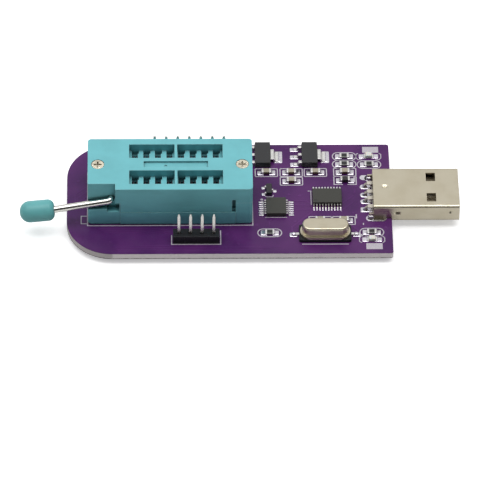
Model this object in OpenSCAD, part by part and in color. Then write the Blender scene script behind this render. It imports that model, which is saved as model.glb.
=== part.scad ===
// USB programmer board with a lever-operated zero-force chip socket.
// Millimetres, +Z up, component side up. The origin is the centre of the plug's mouth, and +X is the
// direction in which the plug is pushed in.
// The modules lay their parts out from the board's centre, with z = 0 on the component side of the
// board. in_frame() then moves them to the origin at the plug's mouth.

/* [Board] */
// Length of the circuit board along X
board_l = 71.3; // [70:0.1:78]
// Width of the circuit board along Y
board_w = 33.2; // [32:0.1:44]
// Thickness of the circuit board
board_t = 1.6; // [1.0:0.1:2.0]
// Radius of the two rounded corners at the lever end
board_corner_r = 10; // [1:0.5:14]

/* [Chip socket] */
// Length of the chip socket along X
socket_l = 36; // [35.5:0.1:37]
// Width of the chip socket along Y
socket_w = 15.5; // [15.4:0.1:16]
// Height of the socket's top face above the board
socket_h = 11; // [10.9:0.05:12]
// Height at which the cover meets the base, which is also the lever shaft's height
part_line_h = 6.7; // [6.65:0.05:6.8]
// Contacts in each row
contact_count = 8; // [7:1:8]
// Distance from one contact to the next, shared by the socket and the headers
pitch = 2.54; // [2.5:0.01:2.54]
// Distance between the two contact rows
row_gap = 7.62; // [7.5:0.01:7.7]
// Depth of the pockets around the contact slots
pocket_depth = 1.92; // [1.8:0.02:1.98]

/* [Lever] */
// Radius of the lever's steel rod
rod_r = 0.78; // [0.6:0.02:0.8]
// Distance from the shaft to the knob
arm_l = 12.7; // [10:0.1:20]
// Angle of the closed lever below the horizontal
arm_drop = 12.4; // [8:0.1:12.6]
// Largest radius of the knob
knob_r = 2.37; // [2.25:0.01:2.6]
// Length of the knob
knob_l = 7.6; // [7:0.1:10]
// Turn of the shaft from closed to open
lever_swing = 100; // [60:1:110]
// Offset of the cams from the shaft's axis
cam_throw = 0.6; // [0.3:0.05:0.6]

/* [Plug] */
// Width of the plug's shell
plug_w = 12; // [11.9:0.05:12.1]
// Height of the plug's shell
plug_h = 4.5; // [4.4:0.05:4.6]
// Length of the plug's shell
plug_l = 18.85; // [18:0.05:20]
// Distance from the board's edge to the plug's mouth
plug_reach = 14.8; // [14:0.1:15.5]
// Depth to which the shell is sunk below the board's top face
plug_sink = 1.0; // [0.8:0.1:1.2]

/* [Headers] */
// Pins in the front header
front_pins = 4; // [2:1:4]
// Pins in the rear header
rear_pins = 7; // [2:1:8]
// Height of the front header's pin tips above the board
front_pin_top = 7.9; // [7:0.1:10]
// Height of the rear header's pin tips above the board
rear_pin_top = 8.7; // [7:0.1:10]

/* [Hidden] */

$fn = 48;
over = 0.5;          // how far a cutting shape runs past the surface that it cuts
fit = 0.02;          // gap around a part that is fixed in a hole
run = 0.05;          // radial gap around a part that turns or slides

// board
board_x = [-board_l / 2, board_l / 2];
board_y = [-board_w / 2, board_w / 2];
square_corner_r = 0.6;
pin_hole_r = 0.5;
tail_end = -3.0;     // every pin's tail ends at this height, so the board stands level on them

// plug
plug_mouth = board_x[1] + plug_reach;
plug_rear = plug_mouth - plug_l;
plug_z = [-plug_sink, plug_h - plug_sink];
plug_mid = (plug_z[0] + plug_z[1]) / 2;
shell_t = 0.3;
shell_r = 0.6;
notch_w = plug_w + 0.2;
leg_slot_l = 3.9;
leg_slot_w = 1.2;
leg_l = 1.2;
tail_x = plug_rear - 1.7;
plug_contact_y = [-3.5, -1.0, 1.0, 3.5];

// socket
socket_x = [-31, -31 + socket_l];
socket_mid = (socket_x[0] + socket_x[1]) / 2;
socket_half = socket_w / 2;
socket_corner_r = 0.8;
stand_h = 0.35;      // gap under the socket's base, held by four feet
contact_mid = socket_mid + 1.3;
pocket_l = (contact_count + 0.06) * pitch;
pocket_y = [1.92, 6.02];
pocket_floor = socket_h - pocket_depth;
slot_w = 1.55;
rib_w = 0.6;
ceiling_h = 8.35;    // underside of the cover above the slider
yoke_ceiling_h = 9.2;
skirt_x = [socket_x[0] + 7.1, socket_x[0] + 31.5];
skirt_z = 3.9;
skirt_in = socket_half - 0.5;
skirt_gap = 0.8;
ledge = 0.12;        // the base stands this far out below the skirts
gap_depth = 0.6;     // further depth of that gap behind the skirt
screw_reach = 15.8;
screw_head_r = 1.35;
screw_shank_r = 0.8;

// lever and slider
shaft_x = -25.9;
shaft_end = 6.6;
arm_y = -6.9;
elbow_r = 0.85;
cam_r = 1.35;
cam_w = 2.2;
cam_y = 3.2;
cam_start = -lever_swing / 2;
slide_travel = 2 * cam_throw * sin(lever_swing / 2);
recess_x = -25.0;
recess_y = -5.98;
corner_y = [-socket_half - over, recess_y];
rest_floor = part_line_h - 2;
elbow_slot_x = [-26.8, -24.1];
elbow_slot_z = part_line_h - 2.7;
slider_z = [part_line_h + 0.1, ceiling_h - 0.15];
yoke_x = [-28.7, -23.6];
yoke_top = yoke_ceiling_h - 0.2;
knob_tilt = 5.4;     // the knob hangs this much flatter than the rod
rod_in_knob = 5.5;

// headers
front_header_y = -12.4;
front_header_mid = -7.34;
rear_header_y = 10.83;
rear_header_mid = -8.69;
pin_w = 0.64;
strip_h = 2.3;
waist_w = 0.18;

// small packages: [x, y] of each centre
regulator_at = [[7.6, 12.7], [18.0, 12.7]];
resistor_at = [[25.7, 12.9], [25.65, 10.45], [31.15, 10.35], [8.75, -10.4], [31.1, -10.3]];
capacitor_at = [[8.35, 7.95], [13.85, 7.95], [13.85, 5.3], [19.2, 7.95], [25.7, 8.0],
                [25.1, -6.75], [19.9, -6.75]];
ferrite_at = [[25.7, 5.45]];
led_at = [[31.1, 12.9], [31.1, -12.5]];
controller_at = [21.55, -0.05];
translator_at = [10.3, -3.05];
transistor_at = [8.82, 2.27];
crystal_at = [20.87, -11.0];

// sizes of the small packages
controller_size = [6.5, 4.4];
translator_size = [4.4, 5.0];
fine_pitch = 0.65;
thin_body_z = [0.1, 1.1];
lead_h = 0.53;
regulator_size = [3.5, 6.5, 1.65];
regulator_lead_z = 0.75;
can_size = [10.2, 3.75];
can_shoulder_r = 0.45;
flange_size = [10.95, 4.65];
crystal_z = [0.8, 1.15, 3.6];   // underside of the flange, top of the flange, top of the can
crystal_post_x = 2.44;
chip_l = 2.0;
chip_w = 1.25;
resistor_h = 0.5;
capacitor_h = 0.85;
ferrite_h = 0.9;
cap_l = 0.4;
led_base_h = 0.3;
led_cap_l = 0.2;
led_lens_x = 0.78;

// ---------- shared shapes ----------

module in_frame() {
    translate([-plug_mouth, 0, -plug_mid]) children();
}

// Block between two corners, given as the ranges that it covers.
module block(x, y, z) {
    translate([x[0], y[0], z[0]]) cube([x[1] - x[0], y[1] - y[0], z[1] - z[0]]);
}

// Flat rounded rectangle whose corners are true arcs.
module rounded_rect(x, y, r) {
    translate([x[0] + r, y[0]]) square([x[1] - x[0] - 2 * r, y[1] - y[0]]);
    translate([x[0], y[0] + r]) square([x[1] - x[0], y[1] - y[0] - 2 * r]);
    for (cx = [x[0] + r, x[1] - r], cy = [y[0] + r, y[1] - r]) translate([cx, cy]) circle(r);
}

// The same outline raised into a block with upright rounded corners.
module rounded_block(x, y, z, r) {
    translate([0, 0, z[0]]) linear_extrude(z[1] - z[0]) rounded_rect(x, y, r);
}

// The same outline made into a bar along X, so its corners are rounded lengthways.
module rounded_bar(x, y, z, r) {
    translate([x[0], 0, 0]) rotate([90, 0, 90]) linear_extrude(x[1] - x[0]) rounded_rect(y, z, r);
}

// Round bar along Y.
module bar_y(x, y, z, r) {
    translate([x, y[0], z]) rotate([-90, 0, 0]) cylinder(r = r, h = y[1] - y[0]);
}

// A profile drawn in the XZ plane, made w wide and centred on y = 0.
module profile_xz(points, w) {
    translate([0, w / 2, 0]) rotate([90, 0, 0]) linear_extrude(w) polygon(points);
}

// Gull-wing lead: leaves a package's side at x = 0 and height h, and ends in a foot at x = reach.
module gull_lead(reach, h, w, t) {
    foot = 0.45 * reach;
    knee = 0.25 * reach;
    profile_xz([[0, h], [knee, h], [reach - foot - t / 2, 0], [reach, 0], [reach, t],
                [reach - foot + t / 2, t], [knee + t, h + t], [0, h + t]], w);
}

// Square pin with tapered ends, standing on y = 0.
module square_pin(z, w) {
    tip = 0.5;
    half = w / 2;
    end = w / 4;
    outline = [[-end, z[0]], [end, z[0]], [half, z[0] + tip], [half, z[1] - tip], [end, z[1]],
               [-end, z[1]], [-half, z[1] - tip], [-half, z[0] + tip]];
    intersection() {
        profile_xz(outline, w);
        rotate([0, 0, 90]) profile_xz(outline, w);
    }
}

// Places its children at n points along X, one pitch apart, about mid.
module along_x(n, mid, step) {
    for (i = [0 : n - 1]) translate([mid + (i - (n - 1) / 2) * step, 0, 0]) children();
}

// ---------- circuit board ----------

module header_holes(n, mid, y) {
    along_x(n, mid, pitch) translate([0, y, -board_t - over]) {
        cylinder(r = pin_hole_r, h = board_t + 2 * over);
    }
}

// Opening in the board's end for the plug, with a round-ended slot on each side for its legs.
module plug_notch() {
    depth = [-board_t - over, over];
    slot_x = [plug_rear - leg_l - 0.1, plug_rear - leg_l - 0.1 + leg_slot_l];
    block([plug_rear - 0.1, board_x[1] + over], [-notch_w / 2, notch_w / 2], depth);
    for (side = [-1, 1]) {
        y = side * (plug_w / 2 + 0.1);
        rounded_block(slot_x, [y - leg_slot_w / 2, y + leg_slot_w / 2], depth, leg_slot_w / 2 - 0.01);
    }
}

module circuit_board() {
    color("indigo") in_frame() difference() {
        union() {
            rounded_block([board_x[0], 0], board_y, [-board_t, 0], board_corner_r);
            rounded_block([-board_corner_r, board_x[1]], board_y, [-board_t, 0], square_corner_r);
        }
        plug_notch();
        header_holes(front_pins, front_header_mid, front_header_y);
        header_holes(rear_pins, rear_header_mid, rear_header_y);
        for (side = [-1, 1]) header_holes(contact_count, contact_mid, side * row_gap / 2);
        for (y = plug_contact_y) translate([tail_x - plug_rear, 0, 0]) header_holes(1, plug_rear, y);
    }
}

// ---------- chip socket ----------

// Places its children at every contact of both rows.
module at_contacts() {
    for (side = [-1, 1]) translate([0, side * row_gap / 2, 0]) {
        along_x(contact_count, contact_mid, pitch) children();
    }
}

// Space in which the cams turn, on both sides of the socket's middle.
module cam_space(z) {
    for (side = [-1, 1]) translate([shaft_x, side * cam_y, 0]) block([-1.95, 1.95], [-1.3, 1.3], z);
}

// Round channel that the shaft turns in, split between base and cover.
module shaft_channel() {
    bar_y(shaft_x, [-socket_half - over, shaft_end + 0.2], part_line_h, rod_r + run);
}

// Side recesses of the base, which the cover's skirts hang down into.
module skirt_space() {
    for (side = [-1, 1]) {
        y = side > 0 ? [skirt_in - 0.05, socket_half + over] : [-socket_half - over, -skirt_in + 0.05];
        block([skirt_x[0] - 0.05, skirt_x[1] + skirt_gap], y, [skirt_z, part_line_h + over]);
        deep_y = side > 0 ? [skirt_in - gap_depth, skirt_in] : [-skirt_in, -skirt_in + gap_depth];
        block([skirt_x[1] + 0.02, skirt_x[1] + skirt_gap], deep_y, [skirt_z + 0.6, part_line_h + over]);
    }
}

module socket_base() {
    color("cadetblue") in_frame() difference() {
        union() {
            rounded_block(socket_x, [-socket_half, socket_half], [stand_h, part_line_h], socket_corner_r);
            ledge_y = socket_half + ledge;
            block([skirt_x[0], skirt_x[1] + skirt_gap], [-ledge_y, ledge_y], [stand_h, skirt_z]);
            for (x = [socket_x[0] + 2, socket_x[1] - 2], y = [-1, 1]) {
                translate([x, y * (socket_half - 2), 0]) cylinder(r = 1.2, h = stand_h + 0.1);
            }
        }
        skirt_space();
        shaft_channel();
        cam_space([part_line_h - 1.1, part_line_h + over]);
        // rest for the closed lever, and the deeper slot for its elbow
        block([socket_x[0] - over, elbow_slot_x[0]], corner_y, [rest_floor, part_line_h + over]);
        block(elbow_slot_x, corner_y, [elbow_slot_z, part_line_h + over]);
        // chambers and tail holes of the contacts
        at_contacts() {
            block([-0.95, 0.95], [-0.9, 0.9], [1.6, part_line_h + over]);
            block([-0.27, 0.27], [-0.17, 0.17], [0, 2]);
        }
        // pilot holes of the screws
        for (side = [-1, 1]) translate([socket_mid + side * screw_reach, 0, 2.9]) {
            cylinder(r = screw_shank_r + fit, h = part_line_h);
        }
    }
}

// Pocket with its row of slots, divided by a rib. side is 1 for the rear row and -1 for the front row.
module cover_pocket(side) {
    y_mid = side * (pocket_y[0] + pocket_y[1]) / 2;
    half = (pocket_y[1] - pocket_y[0]) / 2;
    x = [contact_mid - pocket_l / 2, contact_mid + pocket_l / 2];
    rib_x = contact_mid + (contact_count % 2) * pitch / 2;
    for (range = [[x[0], rib_x - rib_w / 2], [rib_x + rib_w / 2, x[1]]]) {
        block(range, [y_mid - half, y_mid + half], [pocket_floor, socket_h + over]);
    }
    along_x(contact_count, contact_mid, pitch) translate([0, y_mid, 0]) {
        block([-slot_w / 2, slot_w / 2 - 0.25], [-half + 0.4, half], [ceiling_h - over, pocket_floor + over]);
        block([0, slot_w / 2], [half - 0.95, half], [ceiling_h - over, pocket_floor + over]);
    }
}

module socket_cover() {
    color("powderblue") in_frame() difference() {
        union() {
            rounded_block(socket_x, [-socket_half, socket_half], [part_line_h, socket_h], socket_corner_r);
            for (y = [[skirt_in, socket_half], [-socket_half, -skirt_in]]) {
                block(skirt_x, y, [skirt_z + 0.05, part_line_h + 0.1]);
            }
        }
        for (side = [-1, 1]) cover_pocket(side);
        // shallow panel between the rows, and the ejector mark in it
        block([contact_mid - 7.05, contact_mid + 7.0], [-0.9, 0.9], [socket_h - 0.45, socket_h + over]);
        translate([-13.95, -0.1, socket_h - 0.6]) cylinder(r = 0.3, h = 1);
        // space for the slider, its yoke and the cams
        block([socket_x[0] + 2, socket_x[1] - 4.6], [-5.4, 5.4], [part_line_h - over, ceiling_h]);
        block([socket_x[0] + 2, yoke_x[1] + 1.2], [-5.4, 5.4], [part_line_h - over, yoke_ceiling_h]);
        shaft_channel();
        // lever recess at the front corner
        block([socket_x[0] - over, recess_x], corner_y, [part_line_h - over, socket_h + over]);
        // upper end of the gap beside each skirt
        for (y = [[skirt_in - gap_depth, socket_half + over], [-socket_half - over, -skirt_in + gap_depth]]) {
            block([skirt_x[1], skirt_x[1] + skirt_gap], y, [part_line_h - over, part_line_h + 0.9]);
        }
        // screw holes with flat-bottomed head recesses
        for (side = [-1, 1]) translate([socket_mid + side * screw_reach, 0, 0]) {
            translate([0, 0, part_line_h - over]) cylinder(r = screw_shank_r + 0.15, h = socket_h);
            translate([0, 0, socket_h - 1]) cylinder(r = screw_head_r + 0.08, h = 2);
        }
    }
}

// Plate with a window for every contact. Its yoke end rides on the two cams.
module socket_slider() {
    cam_x = shaft_x + cam_throw * sin(cam_start);
    color("darkslategray") in_frame() difference() {
        union() {
            block([yoke_x[1] - 0.1, contact_mid + pocket_l / 2 - 0.2], [-5.2, 5.2], slider_z);
            block(yoke_x, [-5.2, 5.2], [slider_z[0], yoke_top]);
        }
        for (side = [-1, 1]) {
            y = side * cam_y;
            window = [cam_x - cam_r - run, cam_x + cam_r + run];
            block(window, [y - 1.25, y + 1.25], [part_line_h, yoke_top + over]);
        }
        at_contacts() block([-1.45, 0.55], [-1.1, 1.1], [part_line_h, socket_h]);
        // clearance over the shaft, and around the nearer screw
        block([shaft_x - rod_r - slide_travel - 0.1, shaft_x + rod_r + 0.1], [-6, 6], [part_line_h, 7.95]);
        block([yoke_x[0] - over, yoke_x[0] + 2.1], [-1.5, 1.5], [part_line_h, yoke_top + over]);
    }
}

// One two-pronged contact: tail, foot and a pair of prongs that nearly touch at the top.
module contact() {
    foot_z = 1.75;
    waist = 0.1;
    prong = [[0.5, foot_z], [0.75, foot_z], [0.75, 5.6], [0.42, 7.2], [0.3, 8.2], [0.5, pocket_floor - 0.15],
             [0.3, pocket_floor - 0.15], [waist, 8.2], [0.22, 7.1], [0.5, 5.5]];
    block([-0.25, 0.25], [-0.15, 0.15], [tail_end, foot_z + 0.1]);
    block([-0.75, 0.75], [-0.7, 0.7], [foot_z, foot_z + 0.25]);
    profile_xz(prong, 1.4);
    mirror([1, 0, 0]) profile_xz(prong, 1.4);
}

module contact_row(side) {
    in_frame() along_x(contact_count, contact_mid, pitch) translate([0, side * row_gap / 2, 0]) contact();
}

module rear_contacts() {
    color("lightgray") contact_row(1);
}

module front_contacts() {
    color("lightgray") contact_row(-1);
}

// Two self-tapping screws with flat heads and a cross recess.
module socket_screws() {
    top = socket_h - 0.05;
    under_head = socket_h - 1 + fit;
    color("khaki") in_frame() for (side = [-1, 1]) translate([socket_mid + side * screw_reach, 0, 0]) {
        difference() {
            union() {
                translate([0, 0, 3.1]) cylinder(r = screw_shank_r, h = under_head - 3);
                translate([0, 0, under_head]) cylinder(r = screw_head_r, h = top - under_head);
            }
            for (turn = [0, 90]) rotate([0, 0, turn]) {
                block([-0.85, 0.85], [-0.18, 0.18], [top - 0.5, top + over]);
            }
        }
    }
}

// ---------- lever ----------

// Moves its children into the lever's own frame: the shaft along Y, the arm towards -X.
module on_lever() {
    in_frame() translate([shaft_x, 0, part_line_h]) rotate([0, -arm_drop, 0]) children();
}

module lever_rod() {
    cam_turn = cam_start + arm_drop;
    color("silver") on_lever() {
        bar_y(0, [arm_y + elbow_r, shaft_end], 0, rod_r);
        for (side = [-1, 1]) rotate([0, cam_turn, 0]) {
            bar_y(0, [side * cam_y - cam_w / 2, side * cam_y + cam_w / 2], cam_throw, cam_r);
        }
        translate([-elbow_r, arm_y + elbow_r, 0]) rotate([0, 0, -90]) {
            rotate_extrude(angle = 90) translate([elbow_r, 0]) circle(rod_r);
        }
        translate([-arm_l - rod_in_knob, arm_y, 0]) rotate([0, 90, 0]) {
            cylinder(r = rod_r, h = arm_l + rod_in_knob - elbow_r);
        }
    }
}

// Knob with a small radius at the rod and a nearly round outer end, drilled along the rod.
module lever_knob() {
    r_in = 1.4;
    r_out = 2.2;
    color("cadetblue") on_lever() translate([-arm_l, arm_y, 0]) difference() {
        rotate([0, knob_tilt - 90, 0]) rotate_extrude() intersection() {
            square([knob_r, knob_l]);
            union() {
                translate([0, r_in]) square([knob_r, knob_l - r_in - r_out]);
                square([knob_r - r_in, r_in + 0.1]);
                translate([knob_r - r_in, r_in]) circle(r_in);
                translate([0, knob_l - r_out - 0.1]) square([knob_r - r_out, r_out + 0.1]);
                translate([knob_r - r_out, knob_l - r_out]) circle(r_out);
            }
        }
        // blind hole for the rod
        rotate([0, -90, 0]) translate([0, 0, -over]) cylinder(r = rod_r + fit, h = rod_in_knob + 0.1 + over);
    }
}

// ---------- plug ----------

module plug_shell() {
    half = plug_w / 2;
    window_x = [plug_mouth - 7.15, plug_mouth - 5.1];
    window_y = 3.1;
    window_w = 2.55;
    color("tan") in_frame() {
        difference() {
            // tube along X, open at both ends
            translate([plug_rear, 0, plug_mid]) rotate([90, 0, 90]) linear_extrude(plug_l) difference() {
                rounded_rect([-half, half], [-plug_h / 2, plug_h / 2], shell_r);
                inner = [half - shell_t, plug_h / 2 - shell_t];
                rounded_rect([-inner[0], inner[0]], [-inner[1], inner[1]], shell_r - shell_t);
            }
            // latch windows in the top and bottom
            for (side = [-1, 1]) {
                y = side * window_y;
                block(window_x, [y - window_w / 2, y + window_w / 2], [plug_z[0] - over, plug_z[1] + over]);
            }
        }
        // solder legs at the rear corners
        for (y = [[-half, -half + shell_t], [half - shell_t, half]]) {
            block([plug_rear - leg_l + 0.2, plug_rear + 0.1], y, [-0.3, 1.4]);
            block([plug_rear - leg_l + 0.2, plug_rear - 0.15], y, [tail_end, 0]);
        }
    }
}

module plug_insulator() {
    inner = plug_w / 2 - shell_t - 0.05;
    floor_z = plug_z[0] + shell_t + 0.03;
    ceiling_z = plug_z[1] - shell_t - 0.03;
    tongue_z = plug_mid - 0.05;
    block_front = plug_rear + 6.2;
    edge_r = 0.35;
    color("dimgray") in_frame() difference() {
        union() {
            rounded_bar([plug_rear + 0.3, block_front], [-inner, inner], [floor_z, ceiling_z], edge_r);
            rounded_bar([block_front - over, plug_mouth - 0.6], [-inner, inner], [floor_z, tongue_z], edge_r);
        }
        // channels that the contacts lie in
        for (y = plug_contact_y) {
            block([plug_rear, plug_mouth - 1.4], [y - 0.52, y + 0.52], [tongue_z - 0.15, tongue_z + 0.12]);
        }
    }
}

module plug_contacts() {
    top = plug_mid - 0.05;
    t = 0.25;
    color("gold") in_frame() for (y = plug_contact_y) translate([0, y, 0]) {
        block([plug_rear - 1.2, plug_mouth - 1.5], [-0.5, 0.5], [top - 0.14, top + 0.1]);
        profile_xz([[plug_rear - 1.1, top + 0.1], [tail_x - t / 2, top - 0.5], [tail_x - t / 2, tail_end],
                    [tail_x + t / 2, tail_end], [tail_x + t / 2, top - 0.6],
                    [plug_rear - 1.1, top - 0.14]], 0.6);
    }
}

// ---------- headers ----------

// Black strip with a waist between each pair of pins.
module header_strip(n) {
    half = n * pitch / 2;
    deep = pitch / 2 - 0.02;
    hole = pin_w / 2 + fit;
    difference() {
        block([-half, half], [-deep, deep], [0, strip_h]);
        along_x(n - 1, 0, pitch) for (side = [-1, 1]) translate([0, side * (deep + 0.1), -over]) {
            rotate([0, 0, 45]) block([-waist_w, waist_w], [-waist_w, waist_w], [0, strip_h + 2 * over]);
        }
        along_x(n, 0, pitch) block([-hole, hole], [-hole, hole], [-over, strip_h + over]);
    }
}

module front_header_strip() {
    color("black") in_frame() translate([front_header_mid, front_header_y, 0]) header_strip(front_pins);
}

module front_header_pins() {
    color("gainsboro") in_frame() translate([front_header_mid, front_header_y, 0]) {
        along_x(front_pins, 0, pitch) square_pin([tail_end, front_pin_top], pin_w);
    }
}

module rear_header_strip() {
    color("black") in_frame() translate([rear_header_mid, rear_header_y, 0]) header_strip(rear_pins);
}

module rear_header_pins() {
    color("gainsboro") in_frame() translate([rear_header_mid, rear_header_y, 0]) {
        along_x(rear_pins, 0, pitch) square_pin([tail_end, rear_pin_top], pin_w);
    }
}

// ---------- integrated circuits ----------

// Moulded package with a draft on all four sides, crossed from two tapered profiles.
module moulded_body(l, w, z) {
    waist_z = (z[0] + z[1]) / 2;
    draft = 0.08;
    intersection() {
        profile_xz([[-l / 2 + draft, z[0]], [l / 2 - draft, z[0]], [l / 2, waist_z], [l / 2 - draft, z[1]],
                    [-l / 2 + draft, z[1]], [-l / 2, waist_z]], w);
        rotate([0, 0, 90]) profile_xz([[-w / 2 + draft, z[0]], [w / 2 - draft, z[0]], [w / 2, waist_z],
                    [w / 2 - draft, z[1]], [-w / 2 + draft, z[1]], [-w / 2, waist_z]], l);
    }
}

module controller_body() {
    color("dimgray") in_frame() translate([controller_at[0], controller_at[1], 0]) {
        moulded_body(controller_size[0], controller_size[1], thin_body_z);
    }
}

module controller_leads() {
    color("silver") in_frame() translate([controller_at[0], controller_at[1], 0]) {
        for (side = [-1, 1]) along_x(10, 0, fine_pitch) translate([0, side * controller_size[1] / 2, 0]) {
            rotate([0, 0, side * 90]) gull_lead(1.0, lead_h, 0.24, 0.13);
        }
    }
}

module translator_body() {
    color("dimgray") in_frame() translate([translator_at[0], translator_at[1], 0]) {
        moulded_body(translator_size[0], translator_size[1], thin_body_z);
    }
}

module translator_leads() {
    color("silver") in_frame() translate([translator_at[0], translator_at[1], 0]) {
        for (side = [0, 180]) rotate([0, 0, side + 90]) along_x(7, 0, fine_pitch) {
            translate([0, -translator_size[0] / 2, 0]) rotate([0, 0, -90]) gull_lead(1.0, lead_h, 0.24, 0.13);
        }
    }
}

module at_each(places) {
    for (p = places) translate([p[0], p[1], 0]) children();
}

module regulator_bodies() {
    color("dimgray") in_frame() at_each(regulator_at) {
        moulded_body(regulator_size[0], regulator_size[1], [0.06, regulator_size[2]]);
    }
}

module regulator_tabs() {
    color("silver") in_frame() at_each(regulator_at) translate([regulator_size[0] / 2, 0, 0]) {
        gull_lead(1.75, regulator_lead_z, 3.0, 0.28);
    }
}

module regulator_leads() {
    color("silver") in_frame() at_each(regulator_at) for (y = [-2.3, 0, 2.3]) {
        translate([-regulator_size[0] / 2, y, 0]) rotate([0, 0, 180]) {
            gull_lead(1.75, regulator_lead_z, 0.7, 0.28);
        }
    }
}

module transistor_body() {
    color("dimgray") in_frame() at_each([transistor_at]) moulded_body(1.3, 2.9, [0.05, 1.05]);
}

module transistor_leads() {
    color("silver") in_frame() at_each([transistor_at]) {
        for (y = [-0.95, 0.95]) translate([-0.65, y, 0]) rotate([0, 0, 180]) gull_lead(0.55, 0.45, 0.4, 0.12);
        translate([0.65, 0, 0]) gull_lead(0.55, 0.45, 0.4, 0.12);
    }
}

// ---------- crystal ----------

// Stadium shape centred on the origin.
module stadium(size, z) {
    r = size[1] / 2 - 0.01;
    rounded_block([-size[0] / 2, size[0] / 2], [-size[1] / 2, size[1] / 2], z, r);
}

// Half of the can's section: straight side and rounded shoulder.
module can_section(half, z) {
    translate([0, z[0]]) square([half, z[1] - z[0] - can_shoulder_r]);
    translate([0, z[0]]) square([half - can_shoulder_r, z[1] - z[0]]);
    translate([half - can_shoulder_r, z[1] - can_shoulder_r]) circle(can_shoulder_r);
}

module crystal_can() {
    wall = 0.25;
    z = [crystal_z[1], crystal_z[2]];
    half = can_size[1] / 2;
    reach = can_size[0] / 2 - half;
    color("wheat") in_frame() at_each([crystal_at]) difference() {
        union() {
            for (side = [-1, 1]) translate([side * reach, 0, 0]) rotate_extrude() can_section(half, z);
            rotate([90, 0, 90]) translate([0, 0, -reach]) linear_extrude(2 * reach) {
                can_section(half, z);
                mirror([1, 0]) can_section(half, z);
            }
            stadium(flange_size, [crystal_z[1], crystal_z[1] + 0.2]);
        }
        stadium([can_size[0] - 2 * wall, can_size[1] - 2 * wall], [crystal_z[1] - over, crystal_z[2] - wall]);
    }
}

module crystal_header() {
    color("silver") in_frame() at_each([crystal_at]) difference() {
        stadium(flange_size, [crystal_z[0], crystal_z[1]]);
        for (side = [-1, 1]) translate([side * crystal_post_x, 0, 0]) cylinder(r = 0.45, h = 2);
    }
}

// Thin strip of quartz, carried on top of the two posts.
module crystal_blank() {
    color("lightblue") in_frame() at_each([crystal_at]) block([-4.0, 4.0], [-0.85, 0.85], [2.1, 2.25]);
}

module crystal_insulator() {
    color("black") in_frame() at_each([crystal_at]) difference() {
        rounded_block([-5.7, 5.7], [-2.35, 2.35], [0, crystal_z[0]], 0.5);
        for (side = [-1, 1]) {
            translate([side * crystal_post_x, 0, -over]) cylinder(r = 0.45, h = 2);
            block(side > 0 ? [2, 6] : [-6, -2], [-0.4, 0.4], [-over, 0.42]);
        }
    }
}

module crystal_leads() {
    color("silver") in_frame() at_each([crystal_at]) for (side = [-1, 1]) {
        translate([side * crystal_post_x, 0, 0.05]) cylinder(r = 0.22, h = 2.05);
        block(side > 0 ? [crystal_post_x, 7.0] : [-7.0, -crystal_post_x], [-0.3, 0.3], [0, 0.4]);
    }
}

// ---------- resistors, capacitors and lights ----------

// End caps of a chip part that is chip_l long; cap is each cap's length.
module chip_caps(h, cap) {
    for (side = [-1, 1]) {
        x = side > 0 ? [chip_l / 2 - cap, chip_l / 2] : [-chip_l / 2, -chip_l / 2 + cap];
        block(x, [-chip_w / 2, chip_w / 2], [0, h]);
    }
}

// Middle of a chip part, a little smaller than its end caps.
module chip_body(h, cap) {
    thin = 0.03;
    block([-chip_l / 2 + cap, chip_l / 2 - cap], [-chip_w / 2 + thin, chip_w / 2 - thin], [thin, h - thin]);
}

module resistor_bodies() {
    color("black") in_frame() at_each(resistor_at) chip_body(resistor_h, cap_l);
}

module resistor_terminals() {
    color("silver") in_frame() at_each(resistor_at) chip_caps(resistor_h, cap_l);
}

module capacitor_bodies() {
    color("peru") in_frame() at_each(capacitor_at) chip_body(capacitor_h, cap_l);
}

module capacitor_terminals() {
    color("silver") in_frame() at_each(capacitor_at) chip_caps(capacitor_h, cap_l);
}

module ferrite_body() {
    color("dimgray") in_frame() at_each(ferrite_at) chip_body(ferrite_h, cap_l);
}

module ferrite_terminals() {
    color("silver") in_frame() at_each(ferrite_at) chip_caps(ferrite_h, cap_l);
}

module led_bases() {
    color("white") in_frame() at_each(led_at) chip_body(led_base_h, led_cap_l);
}

module led_lenses() {
    slope = 0.12;
    foot = led_base_h - 0.03;
    side = [[-led_lens_x, foot], [led_lens_x, foot], [led_lens_x - slope, 0.85], [-led_lens_x + slope, 0.85]];
    color("lavender") in_frame() at_each(led_at) profile_xz(side, chip_w - 0.06);
}

module led_terminals() {
    color("silver") in_frame() at_each(led_at) chip_caps(led_base_h, led_cap_l);
}

circuit_board();
socket_base();
socket_cover();
socket_slider();
rear_contacts();
front_contacts();
lever_rod();
lever_knob();
socket_screws();
plug_shell();
plug_insulator();
plug_contacts();
front_header_strip();
front_header_pins();
rear_header_strip();
rear_header_pins();
controller_body();
controller_leads();
translator_body();
translator_leads();
regulator_bodies();
regulator_tabs();
regulator_leads();
transistor_body();
transistor_leads();
crystal_can();
crystal_header();
crystal_blank();
crystal_insulator();
crystal_leads();
resistor_bodies();
resistor_terminals();
capacitor_bodies();
capacitor_terminals();
ferrite_body();
ferrite_terminals();
led_bases();
led_lenses();
led_terminals();
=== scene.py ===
import math
import random

import bmesh
import bpy
from mathutils import Matrix, Vector


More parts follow.
